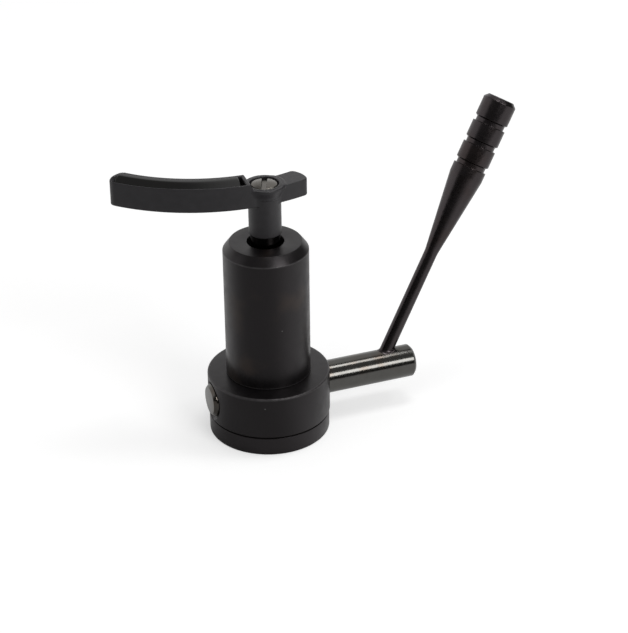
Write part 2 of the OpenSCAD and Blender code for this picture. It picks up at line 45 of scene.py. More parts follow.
# ------------------------------------------------------------------ sizes, in mm, as in the CAD
BASE_R, BASE_TOP, BASE_EDGE = 9.4, 9.85, 0.25
COVER_R, COVER_T, COVER_EDGE, SEAM_EDGE, SEAM_DEPTH = 9.275, 3.0, 0.15, 0.17, 0.5
SHAFT_R, SHAFT_Z, SHAFT_HOLE_R, HOLE_FLARE = 2.56, 6.3, 2.59, 0.6
SHAFT_START, SHAFT_END, SHAFT_EDGE, TAPPED_START, TAPPED_R = -9.7, 23.85, 0.42, 19.7, 1.26
BARREL_R, BARREL_TOP, BARREL_FOOT, FOOT_EDGE = 6.475, 31.9, 8.0, 0.12
CROWN_W, CROWN_H = 1.0, 1.32
COVER_SCREW_OUT, COVER_SCREW_ANGLES, SINK_R, SINK_H, COVER_HOLE_R = 6.9, (41, 221), 1.81, 0.8, 1.01
FIXING_OUT, FIXING_ANGLES, FIXING_R = 7.5, (-41, 139), 1.025
SPIGOT_R, BORE_R, BUSH_R, MOUTH_R, MOUTH_Z, FLANGE_TOP = 5.9, 5.0, 3.81, 2.8, 30.5, 26.3
# rooms round the shaft in which the cam's lobe and its boss turn: radius and half length
LOBE_ROOM_R, LOBE_ROOM, BOSS_ROOM_R, BOSS_ROOM = 6.412, 1.25, 3.42, 3.59
LEVER_X, LEVER_TILT, LEVER_LEAN, LEVER_R, GRIP_R, TIP_EDGE = 18.35, 30.0, 9.5, 1.04, 2.65, 0.6
LEVER_FOOT, LEVER_SEAT_TOP, CONE_START, CONE_END, LEVER_TIP = -1.5, 3.5, 18.8, 32.7, 45.85
GROOVES, GROOVE_FIRST, GROOVE_PITCH, GROOVE_W, GROOVE_DEPTH = 3, 34.7, 3.53, 0.95, 0.34
ARC_R, ARM_YAW = 25.0, 3.65
TRAY_END, TRAY_START, TAIL_END = (ARC_R * math.radians(turn) for turn in (-52.9, -6.0, 15.1))
TRAY_CROWN, TAIL_CROWN = 2.9, 3.7
BAR_HALF, BAR_Z, TAIL_TOP, TRAY_TOP, HUB_TOP = 1.88, 38.55, 41.2, 42.4, 41.3
TRAY_WALL, POCKET_Z, STRIP_GAP, STRIP_SHORT = 0.55, 39.85, 0.04, 0.6
# the strip is flat by the far wall, and past its crest the top slopes down to the near side
STRIP_TOP, STRIP_CREST, STRIP_BEND, STRIP_FALL, STRIP_NEAR = 42.5, 0.50, 0.12, 0.36, -1.20
SLEEVE_Z, SLEEVE_R, HUB_R, NECK_R, NECK_TOP = 33.35, 2.46, 3.05, 1.63, 39.38
LIP_Z, LIP_FLARE, ARM_HOLE_R = 39.7, 1.2, 1.03
HEAD_Z, HEAD_R, HEAD_H, HEAD_HOLE_R, HEAD_DOME = 40.38, 2.03, 1.2, 2.19, 0.34
SHANK_R, SHANK_MIDDLE, SHANK_HALF = 0.98, 38.05, 2.45
SLOT_TURN, SLOT_HALF, SLOT_DEPTH = 67.5, 0.40, 0.6
FIT, CLEAR = 0.01, 0.1    # play between seated pieces, and a cutter's reach past a face


# ------------------------------------------------------------------ camera
def make_camera():
    """Camera by angles in radians, distance in mm, and focal length and offsets in pixels."""
    azimuth, elevation, roll = 0.3585, 0.5067, 0.012
    distance, focal = 332.80, 2133.67
    off_x, off_y = -44.086, 106.399
    sensor_mm, frame_height = 36.0, 633
    ahead = Vector((math.sin(azimuth) * math.cos(elevation),
                    math.cos(azimuth) * math.cos(elevation), -math.sin(elevation)))
    level = Vector((math.cos(azimuth), -math.sin(azimuth), 0.0))
    over = level.cross(ahead)
    right = math.cos(roll) * level - math.sin(roll) * over
    up = math.sin(roll) * level + math.cos(roll) * over
    eye = -(off_x * right - off_y * up) * distance / focal - ahead * distance
    data = bpy.data.cameras.new("camera")
    data.sensor_width = sensor_mm
    data.lens = focal * sensor_mm / frame_height
    data.clip_start, data.clip_end = 0.01, 20.0
    cam = bpy.data.objects.new("camera", data)
    bpy.context.scene.collection.objects.link(cam)
    pose = Matrix((right, up, -ahead)).transposed().to_4x4()
    pose.translation = eye * MM
    cam.matrix_world = pose
    bpy.context.scene.camera = cam


make_camera()


# ------------------------------------------------------------------ shader helpers
def put(tree, socket, value):
    """Links an output socket to an input, or sets the input to a plain value."""
    if isinstance(value, bpy.types.NodeSocket):
        tree.links.new(value, socket)
    else:
        socket.default_value = value


class Tree:
    """Short calls for building a node tree: each returns the output socket it is asked for."""

    def __init__(self, tree):
        self.t = tree

    def n(self, kind, ins=None, out=0, **settings):
        node = self.t.nodes.new(kind)
        for key, value in settings.items():
            setattr(node, key, value)
        for key, value in (ins or {}).items():
            put(self.t, node.inputs[key], value)
        return node.outputs[out] if len(node.outputs) else None

    def math(self, op, a, b=0.0):
        return self.n("ShaderNodeMath", {0: a, 1: b}, operation=op)

    def ramp(self, value, lo, hi, to_lo=0.0, to_hi=1.0, smooth=False):
        ins = {"Value": value, "From Min": lo, "From Max": hi, "To Min": to_lo, "To Max": to_hi}
        return self.n("ShaderNodeMapRange", ins,
                      interpolation_type="SMOOTHSTEP" if smooth else "LINEAR")

    def mix(self, fac, a, b):
        node = self.t.nodes.new("ShaderNodeMix")
        node.data_type = "RGBA"
        put(self.t, node.inputs[0], fac)
        put(self.t, node.inputs[6], a)
        put(self.t, node.inputs[7], b)
        return node.outputs[2]

    def noise(self, vector, scale, detail=2.0, rough=0.5):
        return self.n("ShaderNodeTexNoise", {"Vector": vector, "Scale": scale, "Detail": detail,
                                             "Roughness": rough})

    def vector(self, op, a, b=(0.0, 0.0, 0.0), out=0):
        return self.n("ShaderNodeVectorMath", {0: a, 1: b}, out=out, operation=op)

    def bump(self, height, strength, distance, normal=None):
        ins = {"Height": height, "Strength": strength, "Distance": distance}
        if normal is not None:
            ins["Normal"] = normal
        return self.n("ShaderNodeBump", ins)


def rgb(r, g=None, b=None):
    """A colour for a socket; one number gives a grey."""
    return (r, r if g is None else g, r if b is None else b, 1.0)


def tinted(tint, painted_glow):
    return rgb(*(c * painted_glow for c in tint))


def material(name):
    """A new material, its tree, its shader and the object coordinates, in metres."""
    mat = bpy.data.materials.new(name)
    mat.use_nodes = True
    bsdf = mat.node_tree.nodes["Principled BSDF"]
    tree = Tree(mat.node_tree)
    place = tree.n("ShaderNodeTexCoord", out=3)
    return mat, tree, bsdf, place


def dust(tree, place, size, share):
    """Specks in a share of the cells of a size in metres: 1 inside a speck, 0 elsewhere."""
    node = tree.t.nodes.new("ShaderNodeTexVoronoi")
    put(tree.t, node.inputs["Vector"], place)
    node.inputs["Scale"].default_value = 1.0 / size
    near = tree.ramp(node.outputs["Distance"], 0.07, 0.12, 1.0, 0.0)
    pick = tree.n("ShaderNodeSeparateColor", {"Color": node.outputs["Color"]})
    chosen = tree.math("LESS_THAN", pick, share)
    return tree.math("MULTIPLY", near, chosen)


def round_coords(tree, place, along):
    """Coordinates that follow a turned piece: (radius, 0, distance along its axis), in metres."""
    sep = tree.t.nodes.new("ShaderNodeSeparateXYZ")
    put(tree.t, sep.inputs[0], place)
    axes = {"Z": ("X", "Y"), "X": ("Y", "Z")}[along]
    a, b = sep.outputs[axes[0]], sep.outputs[axes[1]]
    if along == "X":
        b = tree.math("SUBTRACT", b, SHAFT_Z * MM)
    square = tree.math("ADD", tree.math("MULTIPLY", a, a), tree.math("MULTIPLY", b, b))
    radius = tree.math("SQRT", square)
    return tree.n("ShaderNodeCombineXYZ", {"X": radius, "Z": sep.outputs[along]})


def worn_and_lit_edges(tree, turned, edges):
    """1 near each (radius, height, reach) edge of a turned piece, in mm, and 0 elsewhere."""
    wear_and_highlight = 0.0
    for radius, height, reach in edges:
        gap = tree.vector("DISTANCE", turned, (radius * MM, 0.0, height * MM), out=1)
        near = tree.ramp(gap, 0.5 * reach * MM, reach * MM, 1.0, 0.0, smooth=True)
        wear_and_highlight = tree.math("MAXIMUM", wear_and_highlight, near)
    return wear_and_highlight


ANODISED_DARK, ANODISED_PALE = (0.0030, 0.0026, 0.0028), (0.0056, 0.0048, 0.0051)
# the pale edge colour stands partly for wear and partly for a painted highlight along the edges
ANODISED_STAIN, ANODISED_WEAR_AND_HIGHLIGHT, SPECK = rgb(0.034, 0.022, 0.014), rgb(0.042, 0.040, 0.041), rgb(0.10)
TURNING_LINES, GROUND_LINES = (9000.0, 0.0, 9000.0), (200.0, 0.0, 11000.0)


def anodised(name, shade=1.0, stain=0.0, seed=0.0, edges=()):
    """Black anodised aluminium, fine turned, with a satin face and paler edges, partly wear and
    partly a painted highlight.
    """
    mat, tree, bsdf, place = material(name)
    shifted = tree.vector("ADD", place, (seed, seed, seed))
    cloud = tree.noise(shifted, 260.0, 3.0, 0.6)
    base = tree.mix(cloud, tinted(ANODISED_DARK, shade), tinted(ANODISED_PALE, shade))
    if stain:
        patch = tree.ramp(tree.noise(shifted, 140.0), 0.52, 0.70, 0.0, stain, smooth=True)
        base = tree.mix(patch, base, ANODISED_STAIN)
    turned = round_coords(tree, place, "Z")
    patchy = tree.ramp(tree.noise(shifted, 900.0, 2.0), 0.30, 0.65, 0.55, 1.0)
    # edges paler: partly wear, partly a painted highlight line along them
    wear_and_highlight = tree.math("MULTIPLY", worn_and_lit_edges(tree, turned, edges), patchy)
    base = tree.mix(wear_and_highlight, base, ANODISED_WEAR_AND_HIGHLIGHT)
    specks = dust(tree, shifted, 0.0011, 0.035)
    put(tree.t, bsdf.inputs["Base Color"], tree.mix(specks, base, SPECK))
    lines = tree.noise(tree.vector("MULTIPLY", turned, TURNING_LINES), 1.0, 2.0)
    rough = tree.ramp(tree.noise(shifted, 700.0, 3.0), 0.3, 0.7, 0.30, 0.40)
    put(tree.t, bsdf.inputs["Roughness"], rough)
    grain = tree.noise(shifted, 5200.0, 2.0)
    bump = tree.bump(grain, 0.10, 0.00003)
    put(tree.t, bsdf.inputs["Normal"], tree.bump(lines, 0.10, 0.00002, bump))
    bsdf.inputs["IOR"].default_value = 1.45
    bsdf.inputs["Specular IOR Level"].default_value = 0.5
    bsdf.inputs["Specular Tint"].default_value = rgb(1.0, 0.93, 0.96)
    return mat


def metal(name, tint, rough, along, speckle=0.2, seed=0.0, stain=0.0):
    """Metal with fine lines, ground along X or turned about Z, brown in patches by stain."""
    mat, tree, bsdf, place = material(name)
    shifted = tree.vector("ADD", place, (seed, seed, seed))
    cloud = tree.noise(shifted, 420.0, 4.0, 0.65)
    base = tree.mix(cloud, tinted(tint, 0.80), tinted(tint, 1.20))
    if stain:
        patch = tree.ramp(tree.noise(shifted, 230.0, 3.0, 0.6), 0.46, 0.66, 0.0, stain, smooth=True)
        base = tree.mix(patch, base, rgb(tint[0] * 0.95, tint[1] * 0.72, tint[2] * 0.58))
    put(tree.t, bsdf.inputs["Base Color"], base)
    bsdf.inputs["Metallic"].default_value = 1.0
    fine = tree.noise(shifted, 2600.0, 3.0, 0.6)
    put(tree.t, bsdf.inputs["Roughness"], tree.ramp(fine, 0.3, 0.7, rough * 0.85, rough * 1.2))
    stretch = GROUND_LINES if along == "X" else TURNING_LINES
    lines = tree.noise(tree.vector("MULTIPLY", round_coords(tree, place, along), stretch), 1.0, 2.0)
    bump = tree.bump(fine, speckle, 0.00003)
    put(tree.t, bsdf.inputs["Normal"], tree.bump(lines, 0.12, 0.00001, bump))
    return mat


def moulded(name, tint, rough, grain_size, strength, mottle=0.25):
    """Moulded plastic or rubber with a fine, slightly mottled face."""
    mat, tree, bsdf, place = material(name)
    cloud = tree.noise(place, 900.0, 4.0, 0.6)
    put(tree.t, bsdf.inputs["Base Color"],
        tree.mix(cloud, tinted(tint, 1 - mottle), tinted(tint, 1 + mottle)))
    put(tree.t, bsdf.inputs["Roughness"],
        tree.ramp(tree.noise(place, 1800.0, 3.0), 0.3, 0.7, rough * 0.88, rough * 1.12))
    put(tree.t, bsdf.inputs["Normal"],
        tree.bump(tree.noise(place, 1.0 / grain_size, 3.0, 0.6), strength, 0.00004))
    bsdf.inputs["Specular IOR Level"].default_value = 0.5
    return mat


# ------------------------------------------------------------------ mesh helpers
def add_piece(name, mesh, body, nodes, mat):
    """Hands a finished mesh to the frame: its body, the CAD nodes it stands for and its finish."""
    ob = bpy.data.objects.new(name, mesh)
    bpy.context.scene.collection.objects.link(ob)
    mesh.materials.clear()
    mesh.materials.append(mat)
    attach(ob, body)
    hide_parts(*nodes)


def rounded(points, arc_steps=5):
    """Replaces each (r, z, radius) corner of a closed profile by an arc."""
    out = []
    count = len(points)
    for i, (x, y, radius) in enumerate(points):
        if not radius:
            out.append((x, y))
            continue
        here = Vector((x, y))
        before = Vector(points[i - 1][:2]) - here
        after = Vector(points[(i + 1) % count][:2]) - here
        u, v = before.normalized(), after.normalized()
        half = u.angle(v) / 2
        reach = min(radius / math.tan(half), before.length * 0.49, after.length * 0.49)
        radius = reach * math.tan(half)
        centre = here + (u + v).normalized() * (radius / math.sin(half))
        start, end = here + u * reach - centre, here + v * reach - centre
        turn = start.angle_signed(end)
        for k in range(arc_steps + 1):
            a = -turn * k / arc_steps
            spot = centre + Vector((start.x * math.cos(a) - start.y * math.sin(a),
                                    start.x * math.sin(a) + start.y * math.cos(a)))
            out.append((max(spot.x, 0.0), spot.y))
    return out


def lathe(name, profile, steps=144, pose=None, sharp=38.0, cutters=()):
    """Turns a closed (r, z) profile in mm about Z. Points with r 0 become single poles."""
    bm = bmesh.new()
    rings = []
    for r, z in profile:
        if r < 1e-6:
            rings.append([bm.verts.new((0, 0, z * MM))])
        else:
            angles = [2 * math.pi * k / steps for k in range(steps)]
            rings.append([bm.verts.new((r * math.cos(a) * MM, r * math.sin(a) * MM, z * MM))
                          for a in angles])
    for i in range(len(rings)):
        a, b = rings[i], rings[(i + 1) % len(rings)]
        if len(a) == 1 and len(b) == 1:
            continue
        for k in range(steps):
            n = (k + 1) % steps
            if len(a) == 1:
                bm.faces.new((a[0], b[k], b[n]))
            elif len(b) == 1:
                bm.faces.new((a[k], b[0], a[n]))
            else:
                bm.faces.new((a[k], b[k], b[n], a[n]))
    bmesh.ops.recalc_face_normals(bm, faces=bm.faces)
    if pose is not None:
        bmesh.ops.transform(bm, matrix=pose, verts=bm.verts)
    mesh = bpy.data.meshes.new(name)
    bm.to_mesh(mesh)
    bm.free()
    for cutter in cutters:
        mesh = cut(name, mesh, cutter)
    smooth(mesh, sharp)
    return mesh


def smooth(mesh, sharp):
    """Shades a mesh smooth, but for edges sharper than an angle in degrees."""
    mesh.polygons.foreach_set("use_smooth", [True] * len(mesh.polygons))
    mesh.set_sharp_from_angle(angle=math.radians(sharp))


def cut(name, mesh, cutter):
    """Takes a cutter mesh out of a mesh with an exact boolean."""
    whole = bpy.data.objects.new(name + "_whole", mesh)
    tool = bpy.data.objects.new(name + "_tool", cutter)
    for ob in (whole, tool):
        bpy.context.scene.collection.objects.link(ob)
    mod = whole.modifiers.new("cut", "BOOLEAN")
    mod.operation, mod.solver, mod.object = "DIFFERENCE", "EXACT", tool
    bpy.context.view_layer.update()
    graph = bpy.context.evaluated_depsgraph_get()
    done = bpy.data.meshes.new_from_object(whole.evaluated_get(graph))
    for ob in (whole, tool):
        bpy.data.objects.remove(ob)
    done.name = name
    return done


def surface_net(name, field, axes, to_space):
    """Meshes the zero level of field(u, v, w) on a grid, then maps it into space, in mm."""
    eps, settling_rounds, longest_step, normal_step = 1e-3, 4, 0.1, 0.01
    u, v, w = axes
    grid = np.stack(np.meshgrid(u, v, w, indexing="ij"), -1)
    value = field(grid[..., 0], grid[..., 1], grid[..., 2])
    inside = value < 0
    corners = [(i, j, k) for i in (0, 1) for j in (0, 1) for k in (0, 1)]
    cells = np.zeros([n - 1 for n in inside.shape], int)
    for i, j, k in corners:
        cells += inside[i:i + cells.shape[0], j:j + cells.shape[1], k:k + cells.shape[2]]
    where = np.argwhere((cells > 0) & (cells < 8))
    index = -np.ones(cells.shape, int)
    index[tuple(where.T)] = np.arange(len(where))
    total = np.zeros((len(where), 3))
    hits = np.zeros(len(where))
    for a in corners:
        for b in corners:
            if sum(b) - sum(a) == 1 and all(q >= p for p, q in zip(a, b)):
                pa, pb = tuple((where + a).T), tuple((where + b).T)
                fa, fb = value[pa], value[pb]
                crossed = (fa < 0) != (fb < 0)
                t = np.where(crossed, fa / np.where(fa == fb, 1.0, fa - fb), 0.0)[:, None]
                total += np.where(crossed[:, None], grid[pa] * (1 - t) + grid[pb] * t, 0.0)
                hits += crossed
    spots = total / hits[:, None]

    def slope(p):
        g = [field(*(p + e).T) - field(*(p - e).T) for e in np.eye(3) * eps]
        return np.stack(g, -1) / (2 * eps)

    for _ in range(settling_rounds):
        g = slope(spots)
        step = (field(*spots.T) / np.maximum((g * g).sum(1), 0.25))[:, None] * g
        spots -= np.clip(step, -longest_step, longest_step)
    quads = []
    for axis in range(3):
        lo = np.swapaxes(inside, 0, axis)
        change = np.argwhere(lo[:-1] != lo[1:])
        first = lo[:-1][tuple(change.T)]
        change[:, [0, axis]] = change[:, [axis, 0]]
        p, q = [k for k in range(3) if k != axis]
        ok = (change[:, p] > 0) & (change[:, q] > 0)
        ok &= (change[:, p] < cells.shape[p]) & (change[:, q] < cells.shape[q])
        change, first = change[ok], first[ok]
        ring = []
        for dp, dq in ((1, 1), (0, 1), (0, 0), (1, 0)):
            c = change.copy()
            c[:, p] -= dp
            c[:, q] -= dq
            ring.append(index[tuple(c.T)])
        ring = np.stack(ring, -1)
        flip = first if axis != 1 else ~first
        ring[~flip] = ring[~flip][:, ::-1]
        quads.append(ring)
    quads = np.concatenate(quads)
    place = to_space(spots) * MM
    mesh = bpy.data.meshes.new(name)
    mesh.from_pydata(place.tolist(), [], quads.tolist())
    mesh.validate()
    mesh.polygons.foreach_set("use_smooth", [True] * len(mesh.polygons))
    g = slope(spots)
    outwards = g / np.linalg.norm(g, axis=1)[:, None]
    far = to_space(spots + outwards * normal_step) - to_space(spots)
    normals = far / np.linalg.norm(far, axis=1)[:, None]
    mesh.normals_split_custom_set_from_vertices(normals.tolist())
    return mesh


def both(a, b, r=0.0):
    """Intersection of two fields, with the edge rounded by r."""
    if not r:
        return np.maximum(a, b)
    past = np.hypot(np.maximum(a + r, 0), np.maximum(b + r, 0))
    return np.minimum(-r, np.maximum(a, b)) + past


def either(a, b, r=0.0):
    """Union of two fields, with the inner corner filled by r."""
    return -both(-a, -b, r)


def steps_between(*spans):
    """Grid positions from (start, end, step) spans laid end to end."""
    out = []
    for start, end, step in spans:
        count = max(1, round((end - start) / step))
        out.extend(start + (end - start) * k / count for k in range(count))
    out.append(spans[-1][1])
    return np.array(out)


# ------------------------------------------------------------------ materials
# paler edges, partly wear and partly painted highlight: radius, height and how far the paling
# reaches
BASE_WEAR_AND_HIGHLIGHT = [(BASE_R - BASE_EDGE / 2, BASE_TOP - BASE_EDGE / 2, 0.26)]
BARREL_WEAR_AND_HIGHLIGHT = [(BARREL_R, BASE_TOP + FOOT_EDGE, 0.16), (BARREL_R, BARREL_TOP - CROWN_H, 0.16)]
# the cover's colour is 2.6 times as pale as the base's: partly its own finish, partly painted light
# for the brighter floor by its foot
COVER_BLACK = anodised("cover_anodised", shade=2.6, seed=0.031)
BASE_BLACK = anodised("base_anodised", seed=0.007, edges=BASE_WEAR_AND_HIGHLIGHT)
BARREL_BLACK = anodised("barrel_anodised", stain=0.5, edges=BARREL_WEAR_AND_HIGHLIGHT)
SHAFT_STEEL = metal("shaft_black_nickel", (0.110, 0.108, 0.102), 0.155, "X",
                    speckle=0.14, stain=0.55)
LEVER_STEEL = metal("lever_blackened", (0.062, 0.054, 0.056), 0.27, "Z",
                    speckle=0.40, seed=0.02, stain=0.3)
SCREW_STEEL = metal("screw_blued", (0.155, 0.145, 0.130), 0.24, "Z", seed=0.05)
ROD_STEEL = metal("rod_blackened", (0.035, 0.032, 0.032), 0.15, "Z", speckle=0.05, seed=0.09)
ARM_PLASTIC = moulded("arm_plastic", (0.0188, 0.0172, 0.0195), 0.42, 0.00012, 0.40, mottle=0.45)
STRIP_RUBBER = moulded("strip_rubber", (0.0026, 0.0023, 0.0019), 0.11, 0.0006, 0.12)


# ------------------------------------------------------------------ pieces
ALONG_X = Matrix.Translation((0, 0, SHAFT_Z * MM)) @ Matrix.Rotation(math.radians(90), 4, "Y")


def cross_hole(half):
    """Cutter along the shaft, from the (radius, distance) profile of its outer half."""
    return lathe("hole", [(r, -x) for r, x in reversed(half)] + half, 96, ALONG_X)


def cover_holes(out, angles, profile):
    """Cutters for holes up through the cover, at a distance out from its middle."""
    for angle in angles:
        spot = Matrix.Rotation(math.radians(angle), 4, "Z") @ Matrix.Translation((out * MM, 0, 0))
        yield lathe("hole", profile, 48, spot)


def make_cover():
    seam, inner, past = COVER_T - SEAM_EDGE, COVER_R - SEAM_DEPTH, COVER_T + CLEAR
    profile = rounded([
        (0, 0, 0), (COVER_R - COVER_EDGE, 0, 0.06), (COVER_R, COVER_EDGE, 0.08),
        (COVER_R, seam, 0.05), (inner, seam, 0), (inner, COVER_T, 0), (0, COVER_T, 0)])
    sink = [(0, -CLEAR), (SINK_R + CLEAR, -CLEAR), (SINK_R, 0.0), (COVER_HOLE_R, SINK_H),
            (COVER_HOLE_R, past), (0, past)]
    tap = [(0, -CLEAR), (FIXING_R + 2 * CLEAR, -CLEAR), (FIXING_R, CLEAR),
           (FIXING_R, past), (0, past)]
    tools = [*cover_holes(COVER_SCREW_OUT, COVER_SCREW_ANGLES, sink),
             *cover_holes(FIXING_OUT, FIXING_ANGLES, tap)]
    mesh = lathe("cover_turned", profile, cutters=tools)
    add_piece("cover_turned", mesh, "base", ["bottom_cover"], COVER_BLACK)


def make_collar():
    seam, inner, past = COVER_T + SEAM_EDGE, COVER_R - SEAM_DEPTH, BASE_R + 2 * CLEAR
    profile = rounded([
        (0, COVER_T, 0), (inner, COVER_T, 0), (inner, seam, 0), (BASE_R, seam, 0.05),
        (BASE_R, BASE_TOP, BASE_EDGE), (SPIGOT_R + FIT, BASE_TOP, 0),
        (SPIGOT_R + FIT, BARREL_FOOT - FIT, 0), (0, BARREL_FOOT - FIT, 0)])
    hole = cross_hole([
        (LOBE_ROOM_R, LOBE_ROOM), (BOSS_ROOM_R, LOBE_ROOM), (BOSS_ROOM_R, BOSS_ROOM),
        (SHAFT_HOLE_R, BOSS_ROOM), (SHAFT_HOLE_R, BASE_R - HOLE_FLARE),
        (SHAFT_HOLE_R + HOLE_FLARE + 2 * CLEAR, past), (0, past)])
    mesh = lathe("collar_turned", profile, cutters=[hole])
    add_piece("collar_turned", mesh, "base", ["base_collar"], BASE_BLACK)


def make_barrel():
    past = 7.0    # clear of the barrel's wall
    profile = rounded([
        (BORE_R, BARREL_FOOT, 0), (SPIGOT_R, BARREL_FOOT, 0), (SPIGOT_R, BASE_TOP, 0),
        (BARREL_R - FOOT_EDGE, BASE_TOP, 0.04), (BARREL_R, BASE_TOP + FOOT_EDGE, 0.08),
        (BARREL_R, BARREL_TOP - CROWN_H, 0.22), (BARREL_R - CROWN_W, BARREL_TOP, 0.16),
        (MOUTH_R, BARREL_TOP, 0.12), (MOUTH_R, MOUTH_Z, 0), (BUSH_R, MOUTH_Z, 0),
        (BUSH_R, FLANGE_TOP, 0), (BORE_R, FLANGE_TOP, 0)])
    hole = cross_hole([(LOBE_ROOM_R, LOBE_ROOM), (SHAFT_HOLE_R, LOBE_ROOM), (SHAFT_HOLE_R, past),
                       (0, past)])
    mesh = lathe("barrel_turned", profile, cutters=[hole])
    add_piece("barrel_turned", mesh, "base", ["barrel"], BARREL_BLACK)


def lever_pose():
    """From the lever's own axis, with its zero on the shaft's axis, to the part."""
    return (Matrix.Translation((LEVER_X * MM, 0, SHAFT_Z * MM))
            @ Matrix.Rotation(math.radians(-LEVER_LEAN), 4, "X")
            @ Matrix.Rotation(math.radians(LEVER_TILT), 4, "Y"))


def make_shaft():
    e = SHAFT_EDGE
    profile = rounded([
        (0, SHAFT_START, 0), (SHAFT_R - e, SHAFT_START, 0.08), (SHAFT_R, SHAFT_START + e, 0.12),
        (SHAFT_R, SHAFT_END - e, 0.12), (SHAFT_R - e, SHAFT_END, 0.08),
        (TAPPED_R, SHAFT_END, 0), (TAPPED_R, TAPPED_START, 0), (0, TAPPED_START, 0)])
    seat_r, low = LEVER_R + FIT, LEVER_FOOT - FIT
    seat = [(0, low), (seat_r, low), (seat_r, LEVER_SEAT_TOP), (0, LEVER_SEAT_TOP)]
    seat = lathe("seat", seat, 48, lever_pose())
    mesh = lathe("shaft_turned", profile, pose=ALONG_X, cutters=[seat])
    add_piece("shaft_turned", mesh, "lever", ["cam_shaft"], SHAFT_STEEL)


def foot_fillet():
    """The solder in the corner between the lever's foot and the shaft; the rest of it is hidden."""
    pose = np.array(lever_pose())
    turn, foot = pose[:3, :3], pose[:3, 3] / MM
    fillet_r, sunk, reach, middle = 0.35, 0.006, 1.75, 2.95

    def to_part(p):
        return p @ turn.T + foot

    def field(u, v, s):
        spot = to_part(np.stack([u, v, s], -1))
        shaft = np.hypot(spot[..., 1], spot[..., 2] - SHAFT_Z) - SHAFT_R
        stem = np.hypot(u, v) - LEVER_R
        joined = either(stem, shaft, fillet_r) + sunk
        return both(joined, np.sqrt(u * u + v * v + (s - middle) ** 2) - reach)

    axis = steps_between((-1.9, 1.9, 0.09))
    return surface_net("foot_fillet", field, (axis, axis, axis + middle), to_part)


def join(mesh, extra, sharp):
    """Adds the faces of one mesh to another."""
    bm = bmesh.new()
    bm.from_mesh(mesh)
    bm.from_mesh(extra)
    bm.to_mesh(mesh)
    bm.free()
    smooth(mesh, sharp)


def make_lever():
    cone_late, cone_soft, shoulder_soft = 1.0, 9.0, 2.0
    points = [(0, LEVER_FOOT, 0), (LEVER_R, LEVER_FOOT, 0.05),
              (LEVER_R, CONE_START + cone_late, cone_soft), (GRIP_R, CONE_END, shoulder_soft)]
    # each groove has a steep lower wall and a sloped upper one
    floor_r, floor_low, floor_high = GRIP_R - GROOVE_DEPTH, 0.06, 0.72
    for i in range(GROOVES):
        low = GROOVE_FIRST + GROOVE_PITCH * i - GROOVE_W / 2
        points += [(GRIP_R, low, 0.02), (floor_r, low + floor_low, 0.05),
                   (floor_r, low + floor_high, 0.05), (GRIP_R, low + GROOVE_W, 0.05)]
    points += [(GRIP_R, LEVER_TIP - TIP_EDGE, 0.12), (GRIP_R - TIP_EDGE, LEVER_TIP, 0.12),
               (0, LEVER_TIP, 0)]
    mesh = lathe("lever_turned", rounded(points, 6), 96, lever_pose(), sharp=60.0)
    join(mesh, foot_fillet(), 60.0)
    add_piece("lever_turned", mesh, "lever", ["control_lever"], LEVER_STEEL)


# along the bar: s runs on the arc from the post (minus towards the tray), w inwards, z up
def from_post(s, w):
    """The bar's s and w as x and y from the post's axis, before the arm's yaw."""
    return (ARC_R - w) * np.sin(s / ARC_R), ARC_R - (ARC_R - w) * np.cos(s / ARC_R)


def bar_to_space(p):
    x, y = from_post(p[:, 0], p[:, 1])
    yaw = math.radians(ARM_YAW)
    return np.stack([x * math.cos(yaw) - y * math.sin(yaw),
                     x * math.sin(yaw) + y * math.cos(yaw), p[:, 2]], -1)


def plan(s, w, inset=0.0, corner=0.45, tail=True):
    """The bar's outline from above, with round ends, drawn in by inset at the tray's end."""
    side = np.abs(w) - (BAR_HALF - inset)
    beyond = np.minimum(s - (TRAY_END + TRAY_CROWN), 0)
    out = both(side, np.hypot(beyond, w) - (TRAY_CROWN - inset), corner)
    if tail:
        beyond = np.maximum(s - (TAIL_END - TAIL_CROWN), 0)
        out = both(out, np.hypot(beyond, w) - TAIL_CROWN, corner)
    return out


def arm_field(s, w, z):
    edge, ramp, rise = 0.13, 0.45, TRAY_TOP - TAIL_TOP
    slope = ((s - TRAY_START - ramp) * rise + (z - TAIL_TOP) * ramp) / math.hypot(rise, ramp)
    top = either(both(z - TRAY_TOP, slope, 0.12), z - TAIL_TOP, 0.10)
    bar = both(both(plan(s, w), top, edge), BAR_Z - z, edge)
    # the pocket's near wall is bevelled inwards at its top
    bevel_h, bevel_most = 0.42, 0.60
    bevel = np.where(w < 0, np.clip(z - TRAY_TOP + bevel_h, 0, bevel_most), 0.0)
    pocket = both(plan(s, w, TRAY_WALL - bevel, 0.05, tail=False), s - (TRAY_START - TRAY_WALL))
    pocket = both(pocket, POCKET_Z - z)
    bar = both(bar, -pocket, 0.07)
    ro = np.hypot(*from_post(s, w))
    sleeve = both(both(ro - SLEEVE_R, SLEEVE_Z - z, 0.12), z - HUB_TOP)
    lip_r = SLEEVE_R + np.clip((z - LIP_Z) / LIP_FLARE, 0, 1) * (HUB_R - SLEEVE_R)
    lip = both(both(ro - lip_r, LIP_Z - CLEAR - z), z - HUB_TOP, 0.16)
    hub = either(sleeve, lip, 0.2)
    out = either(bar, hub, 0.28)
    out = both(out, -both(ro - HEAD_HOLE_R, HEAD_Z - z), 0.08)
    out = both(out, -both(ro - NECK_R, z - NECK_TOP))
    return both(out, -both(ro - ARM_HOLE_R, NECK_TOP - 2 * CLEAR - z))


def strip_field(s, w, z):
    end = s - (TRAY_START - TRAY_WALL - STRIP_SHORT)
    outline = both(plan(s, w, TRAY_WALL + STRIP_GAP, 0.05, tail=False), end, 0.1)
    outline = both(outline, STRIP_NEAR - w)
    past_crest = STRIP_BEND * np.log1p(np.exp((STRIP_CREST - w) / STRIP_BEND))
    top = z - (STRIP_TOP - STRIP_FALL * past_crest)
    return both(both(outline, top, 0.2), POCKET_Z + FIT - z, 0.05)


